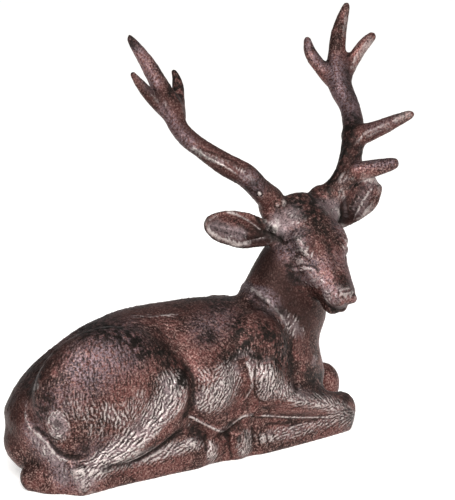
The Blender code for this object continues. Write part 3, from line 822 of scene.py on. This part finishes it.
def carve(carving, picture, facing, where):
    """How far each point rises for a set of drawn strokes."""
    rise = np.zeros(len(picture))
    for path, half_width, depth in carving:
        gap, along = distance_to_path(picture, smooth_path(path))
        taper = smooth_step(0, TAPER_LENGTH, along) * smooth_step(1, 1 - TAPER_LENGTH, along)
        taper = taper * (1 - TAPER_END) + TAPER_END
        rise -= depth * taper * np.exp(-((gap / half_width) ** 2))
    return rise * where * smooth_step(*CARVED_FACING, facing)


def flow_angle(picture):
    """Direction of the fur at places on the picture plane, in radians."""
    sums = np.zeros((len(picture), 2))
    for u, v, angle in FUR_FLOW:
        weight = 1 / (np.hypot(picture[:, 0] - u, picture[:, 1] - v) + FLOW_SOFTNESS) ** FLOW_FALL
        turn = 2 * math.radians(angle)
        sums += weight[:, None] * (math.cos(turn), math.sin(turn))
    sums = unit(sums)
    for centre, reach in SWIRLS:
        offset = picture - centre
        weight = np.exp(-(((offset**2).sum(axis=1)) / reach**2) ** 2)
        turn = 2 * (np.arctan2(-offset[:, 1], offset[:, 0]) + math.pi / 2)
        around = np.stack([np.cos(turn), np.sin(turn)], axis=1)
        sums = sums * (1 - weight[:, None]) + around * weight[:, None]
    return np.arctan2(sums[:, 1], sums[:, 0]) / 2


def fur_density(picture):
    """How dense the deep strokes are at places on the picture plane, between nought and one."""
    dense = np.zeros(len(picture))
    for centre, sizes, tilt, amount in FUR_FIELDS:
        inside = smooth_step(*FIELD_EDGE, in_oval(picture, centre, sizes, tilt))
        dense = np.maximum(dense, amount * inside)
    for path, half_width in SMOOTH_FIELDS:
        gap, _ = distance_to_path(picture, smooth_path(path))
        dense *= smooth_step(half_width * SMOOTH_EDGE[0], half_width * SMOOTH_EDGE[1], gap)
    return dense


def lay_strokes(skin, chosen, directions, lengths, widths, depths, bends):
    """How far each point rises for many short bent strokes, each cut at a chosen point along a direction."""
    tree = KDTree(len(skin.points))
    for index, point in enumerate(skin.points):
        tree.insert(point, index)
    tree.balance()
    normals = skin.normals()
    rise = np.zeros(len(skin.points))
    for seed, along, length, width, depth, bend in zip(chosen, directions, lengths, widths, depths, bends):
        centre, normal = skin.points[seed], normals[seed]
        across = np.cross(normal, along)
        near = np.array([found[1] for found in tree.find_range(centre, length)], int)
        offset = skin.points[near] - centre
        u = (offset @ along) / length
        v = (offset @ across - bend * (u * u - BEND_MIDDLE)) / width
        keep = np.clip(1 - u * u, 0, 1) * (np.abs(offset @ normal) < STROKE_REACH * width + STROKE_MARGIN)
        keep *= smooth_step(*STROKE_FACING, normals[near] @ normal)
        ridge = np.exp(-((np.abs(v) - RIDGE_PLACE) ** 2) / RIDGE_SPREAD)
        profile = -np.exp(-(v**2)) + RIDGE_HEIGHT * ridge
        rise[near] += depth * keep * profile
    return rise


def combed_rows(surface, chance):
    """The skin's points, on both sides, where the rows of raised strokes on the thigh are centred."""
    places = []
    for row in range(COMBED_ROWS):
        for column in range(COMBED_STROKES):
            shift = chance.normal(0, COMBED_SCATTER, 2)
            places.append(COMBED_START + row * COMBED_ROW_STEP + column * COMBED_STROKE_STEP + shift)
    near_side = surface.body_side[:, 1] > 0
    found = []
    for side in (near_side, ~near_side):
        outward = np.flatnonzero(side & (surface.body_facing > COMBED_FACING) & (surface.on_body > 0.5))
        for place in places:
            gaps = np.linalg.norm(surface.body_picture[outward] - place, axis=1)
            found.append(outward[gaps.argmin()])
    return np.array(found)


def fur(skin, surface, settings):
    """Deep strokes where the fur is cut, raised rows on the thigh, and shallow strokes everywhere else."""
    chance = np.random.default_rng(SEED)
    right, up, _ = (np.array(axis) for axis in camera_axes())
    area = 1 / np.maximum(surface.body_facing, LEAST_FACING)
    body = surface.on_body > 0.5
    dense = fur_density(surface.body_picture) * body * smooth_step(*FUR_FACING, surface.body_facing)
    angle = flow_angle(surface.body_picture) + chance.normal(0, STRAY, len(skin.points))
    directions = np.cos(angle)[:, None] * right + np.sin(angle)[:, None] * up
    directions = directions * surface.body_side
    normals = surface.normals
    directions = unit(directions - (directions * normals).sum(axis=1)[:, None] * normals)

    share = settings.stroke_count / max((dense * area).sum(), 1)
    deep = np.flatnonzero(chance.random(len(dense)) < dense * area * share)
    lengths = chance.uniform(*DEEP_LENGTHS, len(deep))
    widths = chance.uniform(*DEEP_WIDTHS, len(deep))
    depths = chance.uniform(*DEEP_DEPTHS, len(deep)) * settings.stroke_depth / MM
    bends = chance.normal(0, DEEP_BEND, len(deep))
    rise = lay_strokes(skin, deep, directions[deep], lengths, widths, depths, bends)

    rows = combed_rows(surface, chance)
    lengths = chance.uniform(*COMBED_LENGTHS, len(rows))
    widths = chance.uniform(*COMBED_WIDTHS, len(rows))
    depths = -chance.uniform(*COMBED_DEPTHS, len(rows)) * settings.stroke_depth / MM
    bends = chance.normal(0, COMBED_BEND, len(rows))
    rise += lay_strokes(skin, rows, directions[rows], lengths, widths, depths, bends)

    shallow = np.flatnonzero(chance.random(len(dense)) < settings.grain_count / len(dense))
    lengths = chance.uniform(*SHALLOW_LENGTHS, len(shallow))
    widths = chance.uniform(*SHALLOW_WIDTHS, len(shallow))
    depths = chance.normal(0, 1, len(shallow)) * settings.grain_depth / MM
    bends = chance.normal(0, SHALLOW_BEND, len(shallow))
    return rise + lay_strokes(skin, shallow, directions[shallow], lengths, widths, depths, bends)


def sculpt(skin, settings):
    """Cuts the relief into the skin, form by form and then stroke by stroke."""
    surface = Surface(skin)
    rise = np.zeros(len(skin.points))
    body = surface.on_body
    for centre, sizes, tilt, height in SWELLINGS:
        near = in_oval(surface.body_picture, centre, sizes, tilt)
        rise += height * np.exp(-(near**2)) * body * smooth_step(*SWELLING_FACING, surface.body_facing)
    rise += carve(THIGH_CARVING + FRONT_CARVING, surface.body_picture, surface.body_facing, body)
    rise += carve(FACE_CARVING, surface.face_picture, surface.face_facing, surface.on_head)
    away = smooth_step(*FREE_HEIGHT, skin.points[:, 2])
    rise += carve(FREE_CARVING, surface.picture, surface.facing, away)
    for centre, size, height in KNOBS:
        near = np.linalg.norm(surface.picture - centre, axis=1) / size
        ring = np.exp(-(((near - 1) / KNOB_RING_WIDTH) ** 2))
        rise += height * (smooth_step(*KNOB_EDGE, near) - KNOB_RING * ring) * away * (surface.facing > 0)
    ball = in_oval(surface.face_picture, EYE, EYE_SIZE, EYE_TILT)
    rise += EYE_HEIGHT * np.sqrt(np.clip(1 - ball**2, 0, 1)) * surface.on_head * (surface.face_facing > 0)
    skin.raise_by(rise)
    fuller = np.zeros(len(skin.points))
    for path, half_width, amount in STOUTER:
        gap, _ = distance_to_path(surface.picture, smooth_path(path))
        inside = smooth_step(STOUTER_EDGE[0] * half_width, STOUTER_EDGE[1] * half_width, gap)
        fuller = np.maximum(fuller, amount * inside)
    skin.raise_by(skin.spread((fuller * away)[:, None], STOUTER_ROUNDS)[:, 0])
    skin.raise_by(fur(skin, surface, settings))
    lumps = sum(share * lattice_noise(skin.points, size, seed) for size, seed, share in LUMPS)
    skin.raise_by(lumps * settings.grain_depth / MM * LUMP_HEIGHT)
    under = surface.normals[:, 2] < UNDERSIDE_FACING
    flat = under & (skin.points[:, 2] < UNDERSIDE_RISE)
    skin.points[:, 2] = np.where(flat, 0, np.maximum(skin.points[:, 2], 0))
    low, high = (np.array(corner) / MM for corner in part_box("deer"))
    skin.points = np.clip(skin.points, low, high)
    return surface


def patches(picture, facing, zones):
    """How strongly each point lies in a set of soft zones round paths on the picture plane."""
    strength = np.zeros(len(picture))
    for path, half_width, amount in zones:
        gap, _ = distance_to_path(picture, smooth_path(path))
        inside = smooth_step(ZONE_EDGE[0] * half_width, ZONE_EDGE[1] * half_width, gap)
        strength = np.maximum(strength, amount * inside)
    return strength * smooth_step(*ZONE_FACING, facing)


def wear(skin, surface):
    """Hollow places with patina and painted shade, high places, the lie of the fur, and the zones of rubbed
    metal and painted highlight, violet bloom and painted sheen, stains and painted shade, and painted shade
    alone.
    """
    normals = skin.normals()
    fine = ((skin.spread(skin.points, FINE_ROUNDS) - skin.points) * normals).sum(axis=1)
    broad = ((skin.spread(skin.points, BROAD_ROUNDS) - skin.points) * normals).sum(axis=1)
    body = surface.on_body > 0.5
    face = surface.on_head > 0.5
    zones = {}
    for name, on_body, on_face, free in (
        ("rubbed_and_highlit", RUBBED_AND_HIGHLIT, HEAD_RUBBED_AND_HIGHLIT, FREE_RUBBED_AND_HIGHLIT),
        ("violet", VIOLET_AND_SHEEN, HEAD_VIOLET_AND_SHEEN, FREE_VIOLET_AND_SHEEN),
        ("darkened", STAINS_AND_SHADE, HEAD_STAINS_AND_SHADE, FREE_STAINS_AND_SHADE),
        ("shady", PAINTED_SHADE, HEAD_PAINTED_SHADE, FREE_PAINTED_SHADE),
    ):
        amount = patches(surface.body_picture, surface.body_facing, on_body) * body
        amount = np.maximum(amount, patches(surface.face_picture, surface.face_facing, on_face) * face)
        above = skin.points[:, 2] > FREE_HEIGHT[0]
        zones[name] = np.maximum(amount, patches(surface.picture, surface.facing, free) * above)
    angle = flow_angle(surface.body_picture)
    right, up, _ = (np.array(axis) for axis in camera_axes())
    lie = (np.cos(angle)[:, None] * right + np.sin(angle)[:, None] * up) * surface.body_side
    turn = 2 * np.arctan2(lie[:, 2], lie[:, 0])
    return {
        **zones,
        "hollow_patina_and_shade": smooth_step(*HOLLOW_RANGE, fine / FINE_HOLLOW + BROAD_SHARE * broad / BROAD_HOLLOW),
        "high": smooth_step(*HIGH_RANGE, -fine / FINE_CREST),
        "lie_level": np.cos(turn),
        "lie_slant": np.sin(turn),
    }


def linear(hex_colour):
    """A colour written as sRGB hex, as linear numbers with alpha."""
    parts = [int(hex_colour[i : i + 2], 16) / 255 for i in (1, 3, 5)]
    return (*[p / 12.92 if p <= 0.04045 else ((p + 0.055) / 1.055) ** 2.4 for p in parts], 1.0)


def add_node(tree, kind, settings=None, out=0, **links):
    """Adds a shader node with its settings and inputs, and gives the output that is used."""
    node = tree.nodes.new(kind)
    for name, value in (settings or {}).items():
        setattr(node, name, value)
    for name, value in links.items():
        key = int(name[1:]) if name[1:].isdigit() else name.replace("_", " ")
        socket = node.inputs[key]
        if isinstance(value, bpy.types.NodeSocket):
            tree.links.new(value, socket)
        else:
            socket.default_value = value
    return node.outputs[out]


class CastingShape(bpy.types.PropertyGroup):
    """Sizes of the relief on the casting."""

    skin_step: bpy.props.FloatProperty(
        name="Skin step", description="Spacing of the working skin", default=0.8 * MM, unit="LENGTH"
    )
    stroke_count: bpy.props.IntProperty(
        name="Fur strokes", description="How many deep strokes are cut", default=6200
    )
    stroke_depth: bpy.props.FloatProperty(
        name="Stroke depth", description="Depth of a fur stroke", default=0.36 * MM, unit="LENGTH"
    )
    grain_count: bpy.props.IntProperty(
        name="Grain marks", description="How many shallow marks there are", default=9000
    )
    grain_depth: bpy.props.FloatProperty(
        name="Grain depth", description="Depth of the rough cast skin", default=0.11 * MM, unit="LENGTH"
    )
    facets: bpy.props.IntProperty(name="Facets", description="Triangles kept in the end", default=190000)


class CastingFinish(bpy.types.PropertyGroup):
    """Colours of the painted iron and of its painted shade and highlights, as sRGB hex."""

    paint: bpy.props.StringProperty(
        name="Paint", description="Rusty reddish-brown paint", default="#5F3B37"
    )
    # A darker tone of the paint, also laid as painted shade on the neck, nape, back and tail
    deep_paint_and_shade: bpy.props.StringProperty(
        name="Deep paint", description="Darker paint between", default="#38221F"
    )
    # Patina in the hollows and stains, also laid as painted shade in the broad hollows and shady zones
    patina_and_shade: bpy.props.StringProperty(
        name="Patina", description="Black-brown patina in the hollows", default="#15100D"
    )
    # Rubbed metal on the high places, also laid as painted highlight where light falls on the forms
    rub: bpy.props.StringProperty(
        name="Rubbed metal", description="Pale rubbed high places", default="#C6BCB6"
    )
    # Thin worn paint, also laid as painted highlight in the rubbed zones
    worn_and_highlit: bpy.props.StringProperty(
        name="Worn paint", description="Grey where the paint is thin", default="#86787A"
    )
    # Violet bloom, partly a painted sheen
    violet: bpy.props.StringProperty(
        name="Violet bloom", description="Greyish-violet bloom", default="#82747B"
    )
    speck: bpy.props.StringProperty(
        name="Specks", description="Pale specks in the paint", default="#94776F"
    )


class Studio(bpy.types.PropertyGroup):
    """The floor and the lights."""

    floor: bpy.props.StringProperty(name="Floor", description="Pale floor colour", default="#F7F6F4")
    glow: bpy.props.FloatProperty(
        name="Floor glow", description="Light from under the white floor", default=0.42
    )
    key_power: bpy.props.FloatProperty(name="Key light", description="Main light in W", default=27.0)
    fill_power: bpy.props.FloatProperty(name="Fill light", description="Side light in W", default=6.0)
    overhead: bpy.props.FloatProperty(
        name="Overhead light", description="Strength of the soft overhead light", default=1.0
    )
    air: bpy.props.FloatProperty(
        name="Surroundings", description="Brightness of the surroundings", default=0.36
    )


def combed_hair(tree, place, lie):
    """Noise drawn out along the lie of the fur, from a few fixed directions."""
    level, slant = lie
    hair = 0.0
    for step in range(HAIR_TURNS):
        turn = math.pi * step / HAIR_TURNS
        stretch = (HAIR_LENGTH * MM, HAIR_WIDTH * MM, HAIR_WIDTH * MM)
        leaning = add_node(
            tree,
            "ShaderNodeMapping",
            {"vector_type": "TEXTURE"},
            Vector=place,
            Rotation=(0, -turn, 0),
            Scale=stretch,
        )
        streaks = add_node(tree, "ShaderNodeTexNoise", Vector=leaning, Scale=1.0, Detail=2.0)
        along = add_node(tree, "ShaderNodeMath", {"operation": "MULTIPLY"}, i0=level, i1=math.cos(2 * turn))
        near = add_node(
            tree,
            "ShaderNodeMath",
            {"operation": "MULTIPLY_ADD", "use_clamp": True},
            i0=slant,
            i1=math.sin(2 * turn),
            i2=along,
        )
        share = add_node(tree, "ShaderNodeMath", {"operation": "POWER"}, i0=near, i1=HAIR_FOCUS)
        hair = add_node(tree, "ShaderNodeMath", {"operation": "MULTIPLY_ADD"}, i0=share, i1=streaks, i2=hair)
    return hair


def painted_iron(finish):
    """Cast iron with a thin rusty paint, sooty in the hollows and rubbed to pale metal on the high places,
    with painted shade in hollows and shady zones and painted highlights in the rubbed zones.
    """
    # Paint over a rough sand-cast skin gives the eye a broken satin sheen, with specks about 1 mm across
    material = bpy.data.materials.new("rusty painted cast iron")
    material.use_nodes = True
    tree = material.node_tree
    shader = tree.nodes["Principled BSDF"]
    place = add_node(tree, "ShaderNodeTexCoord", out="Object")
    parts = {}
    for name in ("hollow_patina_and_shade", "high", "rubbed_and_highlit", "violet", "darkened", "shady", "lie_level", "lie_slant"):
        parts[name] = add_node(tree, "ShaderNodeAttribute", {"attribute_name": name}, "Fac")
    parts["hair"] = combed_hair(tree, place, (parts["lie_level"], parts["lie_slant"]))
    for name, size, detail, roughness in PATTERNS:
        scale = 1 / (size * MM)
        parts[name] = add_node(
            tree, "ShaderNodeTexNoise", Vector=place, Scale=scale, Detail=detail, Roughness=roughness
        )
    for name, kind, first, second in MASKS:
        if kind == "RAMP":
            parts[name] = add_node(
                tree,
                "ShaderNodeMapRange",
                {"interpolation_type": "SMOOTHSTEP"},
                Value=parts[first],
                From_Min=second[0],
                From_Max=second[1],
            )
        else:
            other = parts[second] if isinstance(second, str) else second
            parts[name] = add_node(tree, "ShaderNodeMath", {"operation": kind}, i0=parts[first], i1=other)
    colour = linear(finish.paint)
    for amount, shade in LAYERS:
        laid = linear(getattr(finish, shade))
        colour = add_node(
            tree, "ShaderNodeMix", {"data_type": "RGBA"}, 2, i0=parts[amount], i6=colour, i7=laid
        )
    tree.links.new(colour, shader.inputs["Base Color"])
    shader.inputs["Metallic"].default_value = METALLIC
    shader.inputs["Specular IOR Level"].default_value = MIRRORING
    sheen = add_node(
        tree,
        "ShaderNodeMapRange",
        Value=parts["sheen"],
        From_Min=SHEEN_NOISE[0],
        From_Max=SHEEN_NOISE[1],
        To_Min=SHEEN_ROUGHNESS[0],
        To_Max=SHEEN_ROUGHNESS[1],
    )
    tree.links.new(sheen, shader.inputs["Roughness"])
    bump = add_node(
        tree, "ShaderNodeBump", Strength=BUMP_STRENGTH, Distance=BUMP_HEIGHT * MM, Height=parts["roughness"]
    )
    tree.links.new(bump, shader.inputs["Normal"])
    return material


def matt_floor(colour, glow):
    """Matt white painted board under soft light."""
    # Rolled paint gives the eye an even white with a faint change of sheen
    material = bpy.data.materials.new("matt white painted board")
    material.use_nodes = True
    tree = material.node_tree
    shader = tree.nodes["Principled BSDF"]
    place = add_node(tree, "ShaderNodeTexCoord", out="Object")
    cloud = add_node(tree, "ShaderNodeTexNoise", Vector=place, Scale=FLOOR_CLOUD, Detail=2.0)
    sheen = add_node(
        tree, "ShaderNodeMapRange", Value=cloud, To_Min=FLOOR_ROUGHNESS[0], To_Max=FLOOR_ROUGHNESS[1]
    )
    tree.links.new(sheen, shader.inputs["Roughness"])
    shader.inputs["Base Color"].default_value = linear(colour)
    shader.inputs["Specular IOR Level"].default_value = FLOOR_MIRRORING
    shader.inputs["Emission Color"].default_value = linear(colour)
    shader.inputs["Emission Strength"].default_value = glow
    return material


class DEER_OT_casting(bpy.types.Operator):
    """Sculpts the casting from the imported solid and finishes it"""

    bl_idname = "deer.casting"
    bl_label = "Cast deer"

    def execute(self, context):
        shape = context.scene.deer_shape
        mesh, solid = fine_skin(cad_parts["deer"], shape.skin_step / MM)
        skin = Skin(mesh)
        skin.smooth(SMOOTH_ROUNDS)
        skin.fill_out(solid, FILL_ROUNDS)
        surface = sculpt(skin, shape)
        skin.store()
        for name, values in wear(skin, surface).items():
            attribute = skin.mesh.attributes.new(name, "FLOAT", "POINT")
            attribute.data.foreach_set("value", values.astype(np.float32))
        deer = bpy.data.objects.new("deer_casting", skin.mesh)
        context.scene.collection.objects.link(deer)
        fewer = deer.modifiers.new("Fewer facets", "DECIMATE")
        fewer.ratio = min(1, shape.facets / (2 * len(skin.mesh.polygons)))
        context.view_layer.update()
        thinned = bpy.data.meshes.new_from_object(deer.evaluated_get(context.evaluated_depsgraph_get()))
        deer.modifiers.clear()
        deer.data = thinned
        thinned.name = "deer_casting"
        thinned.shade_smooth()
        thinned.materials.clear()
        thinned.materials.append(painted_iron(context.scene.deer_finish))
        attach(deer, "root")
        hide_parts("deer")
        return {"FINISHED"}


class DEER_OT_stage(bpy.types.Operator):
    """Lays the floor, sets the lights and places the camera"""

    bl_idname = "deer.stage"
    bl_label = "Set stage"

    def execute(self, context):
        studio = context.scene.deer_studio
        mesh = bpy.data.meshes.new("floor")
        disc = bmesh.new()
        bmesh.ops.create_circle(disc, cap_ends=True, segments=FLOOR_SIDES, radius=FLOOR_RADIUS)
        disc.to_mesh(mesh)
        disc.free()
        floor = bpy.data.objects.new("floor", mesh)
        context.scene.collection.objects.link(floor)
        mesh.materials.append(matt_floor(studio.floor, studio.glow))

        self.light(context, "key", KEY_PLACE, studio.key_power)
        self.light(context, "fill", FILL_PLACE, studio.fill_power)
        overhead = bpy.data.lights.new("overhead", "SUN")
        overhead.energy = studio.overhead
        overhead.angle = math.radians(OVERHEAD_ANGLE)
        lamp = bpy.data.objects.new("overhead", overhead)
        lamp.rotation_euler = [math.radians(lean) for lean in OVERHEAD_LEAN]
        context.scene.collection.objects.link(lamp)

        world = bpy.data.worlds.new("studio")
        world.use_nodes = True
        world.node_tree.nodes["Background"].inputs["Strength"].default_value = studio.air
        world.node_tree.nodes["Background"].inputs["Color"].default_value = (1, 1, 1, 1)
        context.scene.world = world
        self.camera(context)
        context.scene.view_settings.view_transform = "Standard"
        return {"FINISHED"}

    def light(self, context, name, place, power):
        """An area light that looks at the figure."""
        data = bpy.data.lights.new(name, "AREA")
        data.shape = "DISK"
        data.size = LIGHT_SIZE
        data.energy = power
        lamp = bpy.data.objects.new(name, data)
        context.scene.collection.objects.link(lamp)
        lamp.location = place
        lamp.rotation_euler = (Vector(LIGHT_TARGET) - lamp.location).to_track_quat("-Z", "Y").to_euler()

    def camera(self, context):
        """The camera of the photograph."""
        right, up, back = camera_axes()
        data = bpy.data.cameras.new("photograph")
        data.lens = VIEW_LENS
        data.sensor_width = VIEW_SENSOR
        camera = bpy.data.objects.new("photograph", data)
        context.scene.collection.objects.link(camera)
        axes = Matrix((right, up, back)).transposed().to_4x4()
        camera.matrix_world = Matrix.Translation(AIM + back * VIEW_DISTANCE) @ axes
        context.scene.camera = camera


class DEER_PT_panel(bpy.types.Panel):
    """Settings of the deer ornament"""

    bl_idname = "DEER_PT_panel"
    bl_label = "Deer ornament"
    bl_space_type = "VIEW_3D"
    bl_region_type = "UI"
    bl_category = "Deer"

    def draw(self, context):
        for group in (context.scene.deer_shape, context.scene.deer_finish, context.scene.deer_studio):
            box = self.layout.box()
            for name in group.bl_rna.properties.keys():
                if name not in ("rna_type", "name"):
                    box.prop(group, name)
        for operator in (DEER_OT_casting, DEER_OT_stage):
            self.layout.operator(operator.bl_idname)


CLASSES = (CastingShape, CastingFinish, Studio, DEER_OT_casting, DEER_OT_stage, DEER_PT_panel)


def register():
    """Makes the classes and their settings known to the program."""
    for made in CLASSES:
        bpy.utils.register_class(made)
    bpy.types.Scene.deer_shape = bpy.props.PointerProperty(type=CastingShape)
    bpy.types.Scene.deer_finish = bpy.props.PointerProperty(type=CastingFinish)
    bpy.types.Scene.deer_studio = bpy.props.PointerProperty(type=Studio)


def unregister():
    """Takes them out again."""
    del bpy.types.Scene.deer_shape
    del bpy.types.Scene.deer_finish
    del bpy.types.Scene.deer_studio
    for made in reversed(CLASSES):
        bpy.utils.unregister_class(made)


def main():
    """Makes the whole scene."""
    register()
    bpy.ops.deer.stage()
    bpy.ops.deer.casting()


if __name__ == "__main__":
    main()
